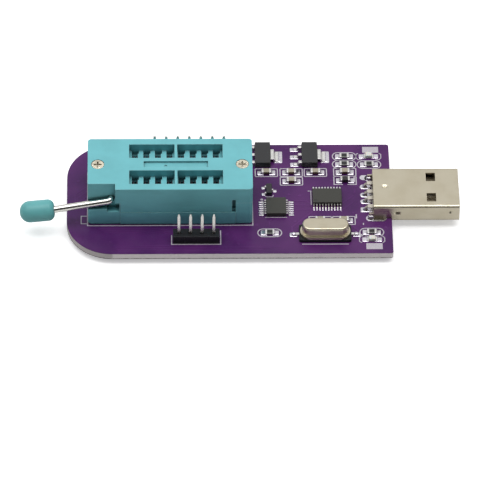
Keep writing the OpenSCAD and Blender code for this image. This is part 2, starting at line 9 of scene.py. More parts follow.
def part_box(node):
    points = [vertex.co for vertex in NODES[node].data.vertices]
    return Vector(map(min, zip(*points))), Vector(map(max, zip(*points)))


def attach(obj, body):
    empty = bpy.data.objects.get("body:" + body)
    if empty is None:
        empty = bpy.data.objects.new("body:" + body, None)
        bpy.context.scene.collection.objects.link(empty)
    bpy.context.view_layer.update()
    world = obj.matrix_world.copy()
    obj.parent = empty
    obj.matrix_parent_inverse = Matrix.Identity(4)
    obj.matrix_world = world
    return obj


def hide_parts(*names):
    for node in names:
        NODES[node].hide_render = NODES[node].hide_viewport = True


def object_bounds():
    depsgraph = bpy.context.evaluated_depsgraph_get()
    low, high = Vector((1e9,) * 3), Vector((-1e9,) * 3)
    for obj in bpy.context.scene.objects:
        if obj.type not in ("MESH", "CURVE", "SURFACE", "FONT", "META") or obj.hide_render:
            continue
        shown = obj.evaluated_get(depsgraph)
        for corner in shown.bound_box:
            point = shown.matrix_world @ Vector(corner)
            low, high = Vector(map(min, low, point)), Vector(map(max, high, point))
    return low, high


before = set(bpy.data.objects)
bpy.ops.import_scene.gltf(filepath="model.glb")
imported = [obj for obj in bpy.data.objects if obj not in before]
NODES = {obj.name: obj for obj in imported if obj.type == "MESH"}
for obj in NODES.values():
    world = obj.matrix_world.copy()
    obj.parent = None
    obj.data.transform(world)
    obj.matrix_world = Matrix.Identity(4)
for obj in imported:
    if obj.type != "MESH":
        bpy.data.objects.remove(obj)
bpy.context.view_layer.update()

# Lengths are millimetres in the board's own frame: x and y from the board's centre, and z = 0 on its
# component side. to_frame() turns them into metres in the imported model's frame.
MM = 0.001
board_low, board_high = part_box("circuit_board")
ORIGIN = Vector(((board_low.x + board_high.x) / 2, (board_low.y + board_high.y) / 2, board_high.z))
BOARD_L = (board_high.x - board_low.x) / MM
BOARD_T = (board_high.z - board_low.z) / MM
FULL = 2 * math.pi
random.seed(7)


def to_frame(point):
    return ORIGIN + Vector(point) * MM


def to_board(point):
    return (Vector(point) - ORIGIN) / MM


def box(node):
    low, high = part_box(node)
    return to_board(low), to_board(high)


def islands(node):
    """Boxes (low, high) of a CAD node's separate solids, sorted along x and then y."""
    mesh = NODES[node].data
    spots = {}
    index = [spots.setdefault(tuple(round(c * 1e7) for c in v.co), len(spots)) for v in mesh.vertices]
    parent = list(range(len(spots)))

    def root(i):
        while parent[i] != i:
            parent[i] = parent[parent[i]]
            i = parent[i]
        return i

    for face in mesh.polygons:
        first = root(index[face.vertices[0]])
        for v in face.vertices:
            parent[root(index[v])] = first
    boxes = {}
    for v in mesh.vertices:
        p = to_board(v.co)
        low, high = boxes.setdefault(root(index[v.index]), (p.copy(), p.copy()))
        for k in range(3):
            low[k] = min(low[k], p[k])
            high[k] = max(high[k], p[k])
    return sorted(boxes.values(), key=lambda b: (round(b[0].x, 2), round(b[0].y, 2)))


def centres(node):
    return [(low + high) / 2 for low, high in islands(node)]


# ---------- outlines and solids ----------

def rounded(cx, cy, length, width, r, steps=5):
    """Counter-clockwise outline of a rounded rectangle."""
    points = []
    for sx, sy, start in ((1, 1, 0), (-1, 1, 90), (-1, -1, 180), (1, -1, 270)):
        for i in range(steps + 1):
            a = math.radians(start + 90 * i / steps)
            points.append((cx + sx * (length / 2 - r) + r * math.cos(a),
                           cy + sy * (width / 2 - r) + r * math.sin(a)))
    return points


def disc(cx, cy, r, steps=24):
    angles = [FULL * i / steps for i in range(steps)]
    return [(cx + r * math.cos(a), cy + r * math.sin(a)) for a in angles]


def inset(outline, scale):
    cx = sum(p[0] for p in outline) / len(outline)
    cy = sum(p[1] for p in outline) / len(outline)
    return [(cx + (x - cx) * scale, cy + (y - cy) * scale) for x, y in outline]


def at(outline, z):
    return [(x, y, z) for x, y in outline]


class Shape:
    """Collects closed solids and turns them into one piece that rides on a body."""

    def __init__(self):
        self.points = []
        self.faces = []

    def loft(self, rings, capped=True):
        start, n = len(self.points), len(rings[0])
        for ring in rings:
            self.points.extend(ring)
        for level in range(len(rings) - 1):
            a = start + level * n
            for i in range(n):
                j = (i + 1) % n
                self.faces.append((a + i, a + j, a + n + j, a + n + i))
        if capped:
            self.faces.append(tuple(start + i for i in reversed(range(n))))
            self.faces.append(tuple(start + (len(rings) - 1) * n + i for i in range(n)))

    def prism(self, outline, z0, z1):
        self.loft([at(outline, z0), at(outline, z1)])

    def hoop(self, outer, inner, z0, z1):
        """Ring between two outlines that have the same number of points."""
        rings = [at(inner, z0), at(outer, z0), at(outer, z1), at(inner, z1)]
        self.loft(rings + rings[:1], capped=False)

    def dome(self, outline, z0, height):
        """Cushion with a thin foot and a rounded top."""
        profile = [(1, 0), (1, 0.25), (0.94, 0.6), (0.8, 0.85), (0.5, 0.98), (0.2, 1)]
        self.loft([at(inset(outline, s), z0 + height * h) for s, h in profile])

    def lathe(self, cx, cy, profile, steps=20):
        """Turns (radius, height) pairs about an upright axis."""
        self.loft([at(disc(cx, cy, r, steps), z) for r, z in profile])

    def line(self, path, width, z0, z1, closed=False):
        """Strip of even width along a path, with mitred bends."""
        n = len(path)
        left, right = [], []
        for i, p in enumerate(path):
            dirs = []
            if i or closed:
                dirs.append((Vector(p) - Vector(path[i - 1])).normalized())
            if i < n - 1 or closed:
                dirs.append((Vector(path[(i + 1) % n]) - Vector(p)).normalized())
            normals = [Vector((-d.y, d.x)) for d in dirs]
            mid = sum(normals, Vector((0, 0))).normalized()
            reach = width / 2 / max(0.4, mid.dot(normals[0]))
            left.append(tuple(Vector(p) + mid * reach))
            right.append(tuple(Vector(p) - mid * reach))
        if closed:
            self.hoop(left, right, z0, z1)
        else:
            for i in range(n - 1):
                self.prism([right[i], right[i + 1], left[i + 1], left[i]], z0, z1)

    def make(self, name, finish, body="main", slot=None, angle=35, bevel=None):
        mesh = bpy.data.meshes.new(name)
        mesh.from_pydata([to_frame(p) for p in self.points], [], self.faces)
        work = bmesh.new()
        work.from_mesh(mesh)
        bmesh.ops.recalc_face_normals(work, faces=work.faces)
        work.to_mesh(mesh)
        work.free()
        mesh.shade_smooth()
        mesh.set_sharp_from_angle(angle=math.radians(angle))
        mesh.materials.append(finish)
        piece = bpy.data.objects.new(name, mesh)
        bpy.context.scene.collection.objects.link(piece)
        if bevel:
            add_bevel(piece, bevel)
        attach(piece, body)
        return piece


def add_bevel(piece, width, segments=2):
    bevel = piece.modifiers.new("edge_radius", "BEVEL")
    bevel.width = width * MM
    bevel.segments = segments
    bevel.limit_method = "ANGLE"
    bevel.angle_limit = math.radians(35)
    bevel.use_clamp_overlap = False
    normals = piece.modifiers.new("face_normals", "WEIGHTED_NORMAL")
    normals.keep_sharp = True


# ---------- materials ----------

def rgb(r, g, b):
    """Colour given in 0 to 255 display values."""
    linear = [c / 255 / 12.92 if c <= 10 else ((c / 255 + 0.055) / 1.055) ** 2.4 for c in (r, g, b)]
    return (*linear, 1.0)


class Finish:
    """Builder for one procedural material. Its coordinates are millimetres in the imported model's frame."""

    def __init__(self, name):
        self.material = bpy.data.materials.new(name)
        self.material.use_nodes = True
        self.tree = self.material.node_tree
        self.bsdf = next(n for n in self.tree.nodes if n.type == "BSDF_PRINCIPLED")
        place = self.add("ShaderNodeTexCoord").outputs["Object"]
        board = self.add("ShaderNodeVectorMath", {0: place, 1: tuple(ORIGIN)}, operation="SUBTRACT")
        scaled = {0: board.outputs[0], "Scale": 1 / MM}
        self.mm = self.add("ShaderNodeVectorMath", scaled, operation="SCALE").outputs[0]
        split = self.add("ShaderNodeSeparateXYZ", {0: self.mm}).outputs
        self.x, self.y, self.z = split[0], split[1], split[2]
        self.geometry = self.add("ShaderNodeNewGeometry")

    def put(self, socket, value):
        if isinstance(value, bpy.types.NodeSocket):
            self.tree.links.new(value, socket)
        else:
            socket.default_value = value

    def add(self, kind, inputs=None, **settings):
        node = self.tree.nodes.new(kind)
        for key, value in settings.items():
            setattr(node, key, value)
        for key, value in (inputs or {}).items():
            self.put(node.inputs[key], value)
        return node

    def stretched(self, x, y, z):
        return self.add("ShaderNodeVectorMath", {0: self.mm, 1: (x, y, z)}, operation="MULTIPLY").outputs[0]

    def noise(self, scale, detail=3.0, rough=0.55, vector=None):
        inputs = {"Vector": vector or self.mm, "Scale": scale, "Detail": detail, "Roughness": rough}
        return self.add("ShaderNodeTexNoise", inputs).outputs["Fac"]

    def cells(self, scale, vector=None):
        inputs = {"Vector": vector or self.mm, "Scale": scale}
        return self.add("ShaderNodeTexVoronoi", inputs).outputs["Distance"]

    def calc(self, operation, a, b=0.0, clamp=False):
        return self.add("ShaderNodeMath", {0: a, 1: b}, operation=operation, use_clamp=clamp).outputs[0]

    def spread(self, value, low, high, out_low=0.0, out_high=1.0):
        """Smooth step of value from low to high."""
        inputs = {"Value": value, "From Min": low, "From Max": high, "To Min": out_low, "To Max": out_high}
        return self.add("ShaderNodeMapRange", inputs, interpolation_type="SMOOTHSTEP").outputs[0]

    def mix(self, amount, a, b):
        inputs = {0: amount, 6: a, 7: b}
        return self.add("ShaderNodeMix", inputs, data_type="RGBA").outputs[2]

    def facing(self, axis):
        """How far the face looks along x, y or z."""
        return self.add("ShaderNodeSeparateXYZ", {0: self.geometry.outputs["True Normal"]}).outputs[axis]

    def edges(self, radius, start=0.995, end=0.9):
        """Mask of the outer edges, where parts wear and where a painted edge highlight is laid."""
        rounded_normal = self.add("ShaderNodeBevel", {"Radius": radius * MM}, samples=4).outputs[0]
        inputs = {0: rounded_normal, 1: self.geometry.outputs["True Normal"]}
        agreement = self.add("ShaderNodeVectorMath", inputs, operation="DOT_PRODUCT").outputs[1]
        return self.spread(agreement, start, end)

    def painted_crevice_shade(self, distance):
        """Mask of the corners that ambient occlusion finds, where painted shade is laid into the colour."""
        shade = self.add("ShaderNodeAmbientOcclusion", {"Distance": distance * MM}, samples=4).outputs["AO"]
        return self.spread(shade, 0.85, 0.25)

    def soft_normal(self, radius):
        return self.add("ShaderNodeBevel", {"Radius": radius * MM}, samples=4).outputs[0]

    def bump(self, height, depth, normal=None, strength=1.0):
        """Relief of a given depth in millimetres."""
        inputs = {"Height": height, "Distance": depth * MM, "Strength": strength}
        if normal:
            inputs["Normal"] = normal
        return self.add("ShaderNodeBump", inputs).outputs[0]

    def done(self, color, rough, metal=0.0, normal=None, **more):
        values = {"Base Color": color, "Roughness": rough, "Metallic": metal}
        if normal:
            values["Normal"] = normal
        values.update({key.replace("_", " "): value for key, value in more.items()})
        for key, value in values.items():
            self.put(self.bsdf.inputs[key], value)
        return self.material


def mask_color(f, lift=0.0):
    """Solder mask: purple, a little uneven where it lies thinner."""
    cloud = f.noise(0.09, 2)
    grain = f.noise(2.2, 4)
    thick, thin = (rgb(*(c + lift for c in tone)) for tone in ((66, 20, 84), (84, 34, 98)))
    deep = f.mix(f.spread(cloud, 0.35, 0.65), thick, thin)
    return f.mix(f.calc("MULTIPLY", grain, 0.2), deep, rgb(106, 58, 120))


def board_finish():
    f = Finish("board_laminate")
    flat = f.spread(f.calc("ABSOLUTE", f.facing(2)), 0.4, 0.8)
    fibre = f.noise(1.0, 4, 0.7, f.stretched(1.5, 1.5, 14))
    # edge colour kept near white, brighter than bare laminate, as painted light from the front
    core = f.mix(fibre, rgb(224, 214, 218), rgb(246, 240, 240))
    # painted shade: the curved left end of the edge darkened, where it faces away from the light
    painted_rim_shade = f.spread(f.x, -BOARD_L / 2 + 10.4, -BOARD_L / 2 + 9.6)
    core = f.mix(f.calc("MULTIPLY", painted_rim_shade, 0.45), core, rgb(120, 112, 108))
    # darker ragged band near the bottom of the edge: partly the underside mask, partly painted shade
    ragged = f.calc("ADD", f.z, f.calc("MULTIPLY", f.noise(1.6, 3), 0.35))
    core = f.mix(f.spread(ragged, -1.15, -1.35), core, rgb(70, 58, 64))
    core = f.mix(f.spread(f.z, -0.1, -0.04), core, rgb(64, 36, 76))
    color = f.mix(flat, core, mask_color(f))
    rough = f.mix(flat, (0.75,) * 3 + (1,), (0.3,) * 3 + (1,))
    wave = f.calc("ADD", f.noise(0.5, 2), f.calc("MULTIPLY", f.noise(6, 3), 0.15))
    smears = f.spread(f.noise(0.25, 5, 0.7), 0.45, 0.7, 0.0, 0.14)
    return f.done(color, f.calc("ADD", rough, smears), 0.0, f.bump(wave, 0.03), Specular_IOR_Level=0.3,
                  Coat_Weight=0.06, Coat_Roughness=0.12)


def trace_finish():
    f = Finish("masked_copper")
    return f.done(mask_color(f, 9), 0.3, 0.0, f.bump(f.noise(6, 3), 0.01), Specular_IOR_Level=0.3)


def clearance_finish():
    f = Finish("masked_laminate")
    return f.done(mask_color(f, -18), 0.34, 0.0, f.bump(f.noise(6, 3), 0.01), Specular_IOR_Level=0.25)


def silk_finish():
    f = Finish("printed_ink")
    worn = f.spread(f.noise(5, 4, 0.65), 0.3, 0.7)
    color = f.mix(worn, rgb(172, 166, 176), rgb(196, 190, 198))
    return f.done(color, 0.62, 0.0, f.bump(f.noise(14, 2), 0.02))


def solder_finish(name, tint, rough):
    f = Finish(name)
    grain = f.noise(3.5, 4, 0.6)
    dull = f.spread(f.noise(1.3, 3), 0.4, 0.7)
    color = f.mix(f.calc("MULTIPLY", dull, 0.35), rgb(*tint), rgb(*(c * 0.8 for c in tint)))
    return f.done(color, f.spread(grain, 0.3, 0.7, rough, rough + 0.18), 1.0, f.bump(grain, 0.03))


def plastic_finish(name, base, light, dark, rough, radius=0.18, grain=0.012):
    """Moulded plastic: fine spark-eroded grain, edges lighter (rubbed wear and a painted edge highlight),
    painted shade in the corners.
    """
    f = Finish(name)
    flow = f.noise(0.16, 3, 0.6, f.stretched(1, 1, 2.5))
    color = f.mix(f.spread(flow, 0.3, 0.7), rgb(*base), rgb(*(c * 0.955 for c in base)))
    # edges lightened towards the light colour: partly rubbed wear, partly a painted edge highlight
    scuffed_and_lit = f.calc("MULTIPLY", f.edges(radius), f.spread(f.noise(0.8, 4), 0.3, 0.6, 0.25, 0.8))
    color = f.mix(scuffed_and_lit, color, rgb(*light))
    # painted shade: corners and recesses darkened towards the dark colour
    color = f.mix(f.calc("MULTIPLY", f.painted_crevice_shade(1.4), 0.75), color, rgb(*dark))
    texture = f.calc("ADD", f.cells(9), f.calc("MULTIPLY", f.noise(1.2, 4), 0.6))
    sheen = f.spread(f.noise(0.45, 4), 0.35, 0.7, rough, rough + 0.1)
    return f.done(color, sheen, 0.0, f.bump(texture, grain, f.soft_normal(radius)), Specular_IOR_Level=0.3)


def chip_finish(name, base, marks=()):
    """Moulding compound, with a round first-pin dimple at each (x, y, radius)."""
    f = Finish(name)
    speckle = f.spread(f.noise(16, 3, 0.7), 0.35, 0.7)
    color = f.mix(f.calc("MULTIPLY", speckle, 0.35), rgb(*base), rgb(*(c * 1.45 for c in base)))
    # edges lightened: partly wear, partly a painted edge highlight
    color = f.mix(f.calc("MULTIPLY", f.edges(0.1), 0.35), color, rgb(120, 120, 116))
    height = f.calc("ADD", f.calc("MULTIPLY", f.cells(20), 0.06), f.calc("MULTIPLY", f.noise(3, 3), 0.08))
    rough = 0.5
    for x, y, r in marks:
        away = f.add("ShaderNodeVectorMath", {0: f.stretched(1, 1, 0), 1: (x, y, 0)}, operation="DISTANCE")
        inside = f.spread(away.outputs[1], r, r - 0.08)
        color = f.mix(f.calc("MULTIPLY", inside, 0.5), color, rgb(34, 34, 34))
        height = f.calc("SUBTRACT", height, inside)
    return f.done(color, rough, 0.0, f.bump(height, 0.06, f.soft_normal(0.06)))


def metal_finish(name, base, rough, along=(1, 1, 1), dirt=0.3, grain=0.01, radius=0.05):
    """Plated metal with fine drawn lines along one axis, duller patches and painted shade in its corners."""
    f = Finish(name)
    lines = f.noise(9, 4, 0.6, f.stretched(*along))
    patches = f.spread(f.noise(0.5, 4, 0.6), 0.4, 0.75)
    color = f.mix(f.calc("MULTIPLY", patches, dirt), rgb(*base), rgb(*(c * 0.8 for c in base)))
    # painted shade: corners darkened to a third of the base colour
    color = f.mix(f.calc("MULTIPLY", f.painted_crevice_shade(0.8), 0.5), color, rgb(*(c * 0.35 for c in base)))
    uneven = f.calc("ADD", f.spread(lines, 0.3, 0.7, rough, rough + 0.1), f.calc("MULTIPLY", patches, 0.08))
    return f.done(color, uneven, 1.0, f.bump(lines, grain, f.soft_normal(radius)))


def sheet_finish(name, seamed):
    """Plated sheet: rolled grain, scratches along x, and on the plug a butt seam underneath."""
    f = Finish(name)
    grain = f.noise(5, 4, 0.6, f.stretched(0.5, 2, 2))
    scratches = f.spread(f.noise(7, 2, 0.5, f.stretched(0.06, 3, 3)), 0.66, 0.72)
    patches = f.spread(f.noise(0.22, 3, 0.5), 0.35, 0.75)
    color = f.mix(patches, rgb(212, 204, 183), rgb(204, 195, 172))
    color = f.mix(f.calc("MULTIPLY", scratches, 0.2), color, rgb(232, 226, 210))
    underneath = f.spread(f.facing(2), -0.5, -0.9)
    seam = f.calc("MULTIPLY", f.spread(f.calc("ABSOLUTE", f.y), 0.09, 0.05), underneath)
    seam = f.calc("MULTIPLY", seam, 1.0 if seamed else 0.0)
    color = f.mix(f.calc("MULTIPLY", seam, 0.85), color, rgb(40, 36, 34))
    cut = f.calc("ADD", seam, f.calc("MULTIPLY", scratches, 0.1))
    height = f.calc("SUBTRACT", f.calc("MULTIPLY", grain, 0.12), cut)
    rough = f.calc("ADD", f.spread(grain, 0.3, 0.7, 0.3, 0.4), f.calc("MULTIPLY", scratches, 0.1))
    return f.done(color, rough, 1.0, f.bump(height, 0.05))


def ceramic_finish(name, base, rough=0.4, shaded_side_color=None):
    """Fired ceramic with open pits; faces that don't look up may be given a darker colour as painted shade.
    """
    f = Finish(name)
    pits = f.noise(10, 4, 0.65)
    color = f.mix(f.spread(pits, 0.3, 0.7), rgb(*base), rgb(*(c * 0.82 for c in base)))
    if shaded_side_color:
        # painted shade: faces that don't look up take the darker side colour
        color = f.mix(f.spread(f.facing(2), 0.3, 0.8), rgb(*shaded_side_color), color)
    # edges lightened: partly wear, partly a painted edge highlight
    color = f.mix(f.calc("MULTIPLY", f.edges(0.08), 0.4), color, rgb(*(min(255, c * 1.25) for c in base)))
    gloss = f.spread(pits, 0.3, 0.7, rough, rough + 0.15)
    return f.done(color, gloss, 0.0, f.bump(pits, 0.03, f.soft_normal(0.06)))


def lens_finish():
    f = Finish("led_resin")
    cloud = f.noise(4, 3)
    color = f.mix(cloud, rgb(236, 236, 232), rgb(218, 220, 212))
    return f.done(color, 0.16, 0.0, f.bump(cloud, 0.02, f.soft_normal(0.08)), Transmission_Weight=0.1,
                  Subsurface_Weight=0.3, Subsurface_Scale=0.4 * MM, IOR=1.5)


def quartz_finish():
    f = Finish("quartz_blank")
    color = f.mix(f.noise(2, 3), rgb(226, 236, 240), rgb(206, 222, 228))
    return f.done(color, 0.05, 0.0, f.bump(f.noise(3, 2), 0.01), Transmission_Weight=0.85, IOR=1.54)


def paint(node, material, bevel=0.0, segments=2):
    """Gives a CAD node its finish and, if asked, small edge radii."""
    piece = NODES[node]
    piece.data.materials.clear()
    piece.data.materials.append(material)
    if bevel:
        weld = piece.modifiers.new("joined_corners", "WELD")
        weld.merge_threshold = 1e-7
        flat = piece.modifiers.new("flat_faces", "DECIMATE")
        flat.decimate_type = "DISSOLVE"
        flat.angle_limit = math.radians(0.5)
        add_bevel(piece, bevel, segments)


controllers = [((low + high) / 2, low) for low, high in islands("controller_body")]
translators = [((low + high) / 2, low) for low, high in islands("translator_body")]
controller, controller_low = controllers[0]
translator, translator_low = translators[0]

TEAL = (118, 194, 202)
socket_plastic = plastic_finish("socket_plastic", TEAL, (168, 220, 224), (14, 50, 56), 0.36)
knob_plastic = plastic_finish("knob_plastic", (106, 178, 180), (170, 214, 212), (52, 110, 112), 0.3, 0.1)
# slider plastic coloured dark teal as painted shade, for the shade inside the socket's slots
slider_plastic = plastic_finish("slider_plastic", (30, 84, 92), (60, 120, 126), (12, 34, 38), 0.42)
black_plastic = plastic_finish("black_plastic", (26, 26, 31), (84, 84, 90), (8, 8, 10), 0.42, 0.1, 0.02)
chip_black = chip_finish("chip_compound", (38, 38, 40))
controller_mark = (controller_low.x + 0.75, controller_low.y + 0.75, 0.32)
translator_mark = (translator_low.x + 0.7, translator_low.y + 4.3, 0.3)
chip_olive = chip_finish("chip_compound_olive", (50, 50, 45), (controller_mark, translator_mark))
nickel = sheet_finish("plug_sheet", True)
tin = solder_finish("bright_tin", (240, 239, 236), 0.24)
solder = solder_finish("solder", (234, 230, 238), 0.2)
lever_steel = metal_finish("lever_steel", (240, 238, 232), 0.12, (0.4, 3, 3), 0.25, 0.006)
screw_metal = metal_finish("screw_plating", (238, 230, 208), 0.22, (0.5, 0.5, 0.5), 0.8, 0.12)
# contact plating coloured dark as painted shade, for the shade inside the socket's slots
contact_metal = metal_finish("contact_plating", (104, 92, 98), 0.22, (1, 1, 0.3), 0.4, 0.02)
can_metal = sheet_finish("can_sheet", False)
pin_metal = metal_finish("pin_tin", (240, 238, 232), 0.2, (2, 2, 0.3), 0.2, 0.008, 0.16)
plug_plating = metal_finish("plug_contact_plating", (232, 226, 212), 0.2, (0.4, 2, 2), 0.2, 0.008)
TAN = (156, 144, 122)
tongue_plastic = plastic_finish("tongue_plastic", TAN, (180, 170, 150), (60, 52, 42), 0.4, 0.1, 0.02)
board_laminate = board_finish()
masked_copper = trace_finish()
masked_laminate = clearance_finish()
ink = silk_finish()

paint("circuit_board", board_laminate)
paint("socket_base", socket_plastic)
paint("socket_cover", socket_plastic)
paint("socket_slider", slider_plastic)
paint("rear_contacts", contact_metal)
paint("front_contacts", contact_metal)
paint("lever_rod", lever_steel)
paint("lever_knob", knob_plastic)
paint("socket_screws", screw_metal)
paint("plug_insulator", tongue_plastic)
paint("plug_contacts", plug_plating)
paint("front_header_strip", black_plastic, 0.08)
paint("rear_header_strip", black_plastic, 0.08)
paint("front_header_pins", pin_metal)
paint("rear_header_pins", pin_metal)
paint("controller_body", chip_olive, 0.04)
paint("controller_leads", tin)
paint("translator_body", chip_olive, 0.04)
paint("translator_leads", tin)
paint("regulator_bodies", chip_black, 0.06)
paint("regulator_tabs", tin, 0.05)
paint("regulator_leads", tin, 0.05)
paint("transistor_body", chip_black, 0.04)
paint("transistor_leads", tin)
paint("crystal_can", can_metal)
paint("crystal_header", can_metal)
paint("crystal_blank", quartz_finish())
paint("crystal_insulator", black_plastic)
paint("crystal_leads", tin)
ceramic_body = ceramic_finish("resistor_ceramic", (150, 150, 148))
paint("resistor_bodies", ceramic_body, 0.03)
paint("resistor_terminals", tin, 0.05)
# capacitor top given its lit colour and its sides a darker brown: painted light and painted shade
paint("capacitor_bodies", ceramic_finish("capacitor_ceramic", (176, 168, 148), shaded_side_color=(96, 70, 56)), 0.05)
paint("capacitor_terminals", tin, 0.06)
paint("ferrite_body", ceramic_finish("ferrite_ceramic", (44, 41, 42)), 0.05)
paint("ferrite_terminals", tin, 0.06)
paint("led_bases", ceramic_finish("led_base", (222, 222, 214)))
paint("led_lenses", lens_finish(), 0.06)
paint("led_terminals", tin, 0.03)

# ---------- solder, pads and print ----------

PAD = 0.05          # height of a pad with its film of solder
INK = 0.035         # height of the print
COPPER = 0.03       # height of a masked copper track

resistors = centres("resistor_bodies")
capacitors = centres("capacitor_bodies")
ferrites = centres("ferrite_body")
leds = centres("led_bases")
regulators = centres("regulator_bodies")
transistor = centres("transistor_body")[0]
crystal = centres("crystal_can")[0]
chip_end = box("ferrite_terminals")[1].x - ferrites[0].x
plug_low, plug_high = box("plug_shell")
socket_low, socket_high = box("socket_base")
front_strip_low, front_strip_high = box("front_header_strip")
rear_strip_low, rear_strip_high = box("rear_header_strip")


def fillet(shape, x, y, side, height, width, reach):
    """Solder climbing a chip's end face: steep at the chip and flat at the pad's end."""
    rings = []
    for i in range(7):
        t = i / 6
        far = x + side * (0.05 + reach * (1 - t) ** 2.2)
        half = width / 2 * (0.8 + 0.2 * (1 - t) ** 2)
        near = x - side * 0.03
        low, high = min(near, far), max(near, far)
        corner = min(0.12, (high - low) / 2.1)
        outline = rounded((low + high) / 2, y, high - low, 2 * half, corner, 3)
        rings.append(at(outline, PAD * 0.5 + height * t))
    shape.loft(rings)


def chip_pads(shape, spot, height, span=4.0, width=1.45, r=0.2):
    for side in (-1, 1):
        inner = chip_end - 0.45
        outer = span / 2
        x = spot.x + side * (inner + outer) / 2
        shape.dome(rounded(x, spot.y, outer - inner, width, r), 0, PAD * 1.6)
        fillet(shape, spot.x + side * chip_end, spot.y, side, height, 1.2, outer - chip_end - 0.12)


joints = Shape()
for spot in resistors:
    chip_pads(joints, spot, 0.42)
for spot in capacitors + ferrites:
    chip_pads(joints, spot, 0.6)
for spot in leds:
    chip_pads(joints, spot, 0.28, 4.3, 1.3)
for low, high in islands("controller_leads"):
    cy = controller.y
    side = 1 if (low.y + high.y) / 2 > cy else -1
    toe = high.y if side > 0 else low.y
    joints.dome(rounded((low.x + high.x) / 2, toe - side * 0.15, 0.36, 1.1, 0.12, 3), 0, PAD * 1.3)
for low, high in islands("translator_leads"):
    side = 1 if (low.x + high.x) / 2 > translator.x else -1
    toe = high.x if side > 0 else low.x
    joints.dome(rounded(toe + side * 0.05, (low.y + high.y) / 2, 1.25, 0.36, 0.12, 3), 0, PAD * 1.3)
for low, high in islands("regulator_leads"):
    cy = (low.y + high.y) / 2
    joints.dome(rounded(low.x + 0.15, cy, 1.9, 1.15, 0.25), 0, PAD * 1.5)
    fillet(joints, low.x + 0.05, cy, -1, 0.3, 0.8, 0.5)
for low, high in islands("regulator_tabs"):
    cy = (low.y + high.y) / 2
    joints.dome(rounded(high.x - 0.1, cy, 1.9, 3.5, 0.25), 0, PAD * 1.5)
    fillet(joints, high.x - 0.05, cy, 1, 0.28, 3.1, 0.5)
for low, high in islands("transistor_leads"):
    side = 1 if (low.x + high.x) / 2 > transistor.x else -1
    toe = high.x if side > 0 else low.x
    cy = (low.y + high.y) / 2
    joints.dome(rounded(toe, cy, 0.95, 0.75, 0.2), 0, PAD * 2)
    fillet(joints, toe - side * 0.05, cy, side, 0.12, 0.5, 0.35)
lead_low, lead_high = box("crystal_leads")
for side, toe in ((-1, lead_low.x), (1, lead_high.x)):
    joints.dome(rounded(toe - side * 0.1, crystal.y, 1.8, 1.3, 0.4), 0, PAD * 2)
    joints.dome(rounded(toe - side * 0.15, crystal.y, 1.1, 0.95, 0.4), PAD, 0.5)

# plug: contact pads, tail joints and leg joints
contact_islands = islands("plug_contacts")
for k, (low, high) in enumerate(sorted(contact_islands, key=lambda b: b[0].y)):
    cy = (low.y + high.y) / 2
    r = 0.15 if k == 0 else 0.65
    joints.dome(rounded(low.x + 0.42, cy, 2.6, 1.4, r), 0, PAD * 2)
    joints.lathe(low.x + 0.14, cy, [(0.62, PAD), (0.5, 0.16), (0.36, 0.34), (0.26, 0.55), (0.2, 0.62)])
legs_x = plug_low.x + 0.45
for side in (-1, 1):
    cy = side * (plug_high.y - 0.15)
    joints.dome(rounded(legs_x, cy, 1.5, 0.95, 0.45), 0, 0.75)
    joints.dome(rounded(legs_x, cy, 1.5, 0.95, 0.45), -BOARD_T, -0.7)
joints.make("solder_joints", solder, slot="tinned_metal", angle=50)

# through-hole joints on the underside
under = Shape()
tails = islands("front_contacts") + islands("rear_contacts") + islands("front_header_pins")
tails += islands("rear_header_pins")
tail_spots = [(((low + high) / 2).x, ((low + high) / 2).y) for low, high in tails]
tail_spots += [(low.x + 0.12, ((low + high) / 2).y) for low, high in contact_islands]
for x, y in tail_spots:
    lean = random.uniform(-0.05, 0.05)
    tall = random.uniform(0.85, 1.1)
    cone = [(0.9, -0.01), (0.9, 0.05), (0.8, 0.12), (0.62 + lean, 0.26)]
    cone += [(0.48, 0.45 * tall), (0.38, 0.7 * tall), (0.26, 0.95 * tall), (0.12, tall)]
    under.lathe(x, y, [(r, -BOARD_T - depth) for r, depth in cone])
under.make("underside_joints", solder, slot="tinned_metal", angle=50)

print_top = Shape()
LINE = 0.24


def rings_of(outline_of, width=LINE):
    """Closed printed line: outline_of(grow) gives the outline grown by that much."""
    print_top.hoop(outline_of(width / 2), outline_of(-width / 2), 0, INK)


def drawn(path, width=LINE):
    print_top.line(path, width, 0, INK)


for spot in resistors:
    rings_of(lambda g, s=spot: rounded(s.x, s.y, 5.2 + 2 * g, 2.35 + 2 * g, 1.17 + g, 8))
for spot in capacitors:
    rings_of(lambda g, s=spot: rounded(s.x, s.y, 4.9 + 2 * g, 2.4 + 2 * g, 0.15 + g, 2))
for spot in ferrites:
    x, y = spot.x, spot.y
    drawn([(x + 0.5, y - 1.2), (x + 2.45, y - 1.2), (x + 2.45, y + 1.2)])
    drawn([(x - 0.5, y - 1.2), (x - 2.45, y - 1.2), (x - 2.45, y + 1.2)])
for spot, side in zip(sorted(leds, key=lambda p: p.y), (-1, 1)):
    # bracket with cut corners, and a blank plate on the side away from the board's middle
    for end in (-1, 1):
        bracket = [(1.5, -1.05), (2.3, -1.05), (2.75, -0.5), (2.75, 0.6), (2.3, 0.95)]
        drawn([(spot.x + end * dx, spot.y + side * dy) for dx, dy in bracket], 0.2)
    print_top.prism(rounded(spot.x + 0.45, spot.y + side * 2.03, 3.55, 1.8, 0.08, 2), 0, INK)
edge = 0.1
left, right = socket_low.x - edge, socket_high.x + edge
front, back = socket_low.y - 0.2, socket_high.y + 0.2
print_top.line([(left, front), (right, front), (right, back), (left, back)], LINE, 0, INK, closed=True)
drawn([(left, front + 0.6), (left - 1.4, front + 0.6), (left - 1.4, front + 2.9), (left, front + 2.9)], 0.2)
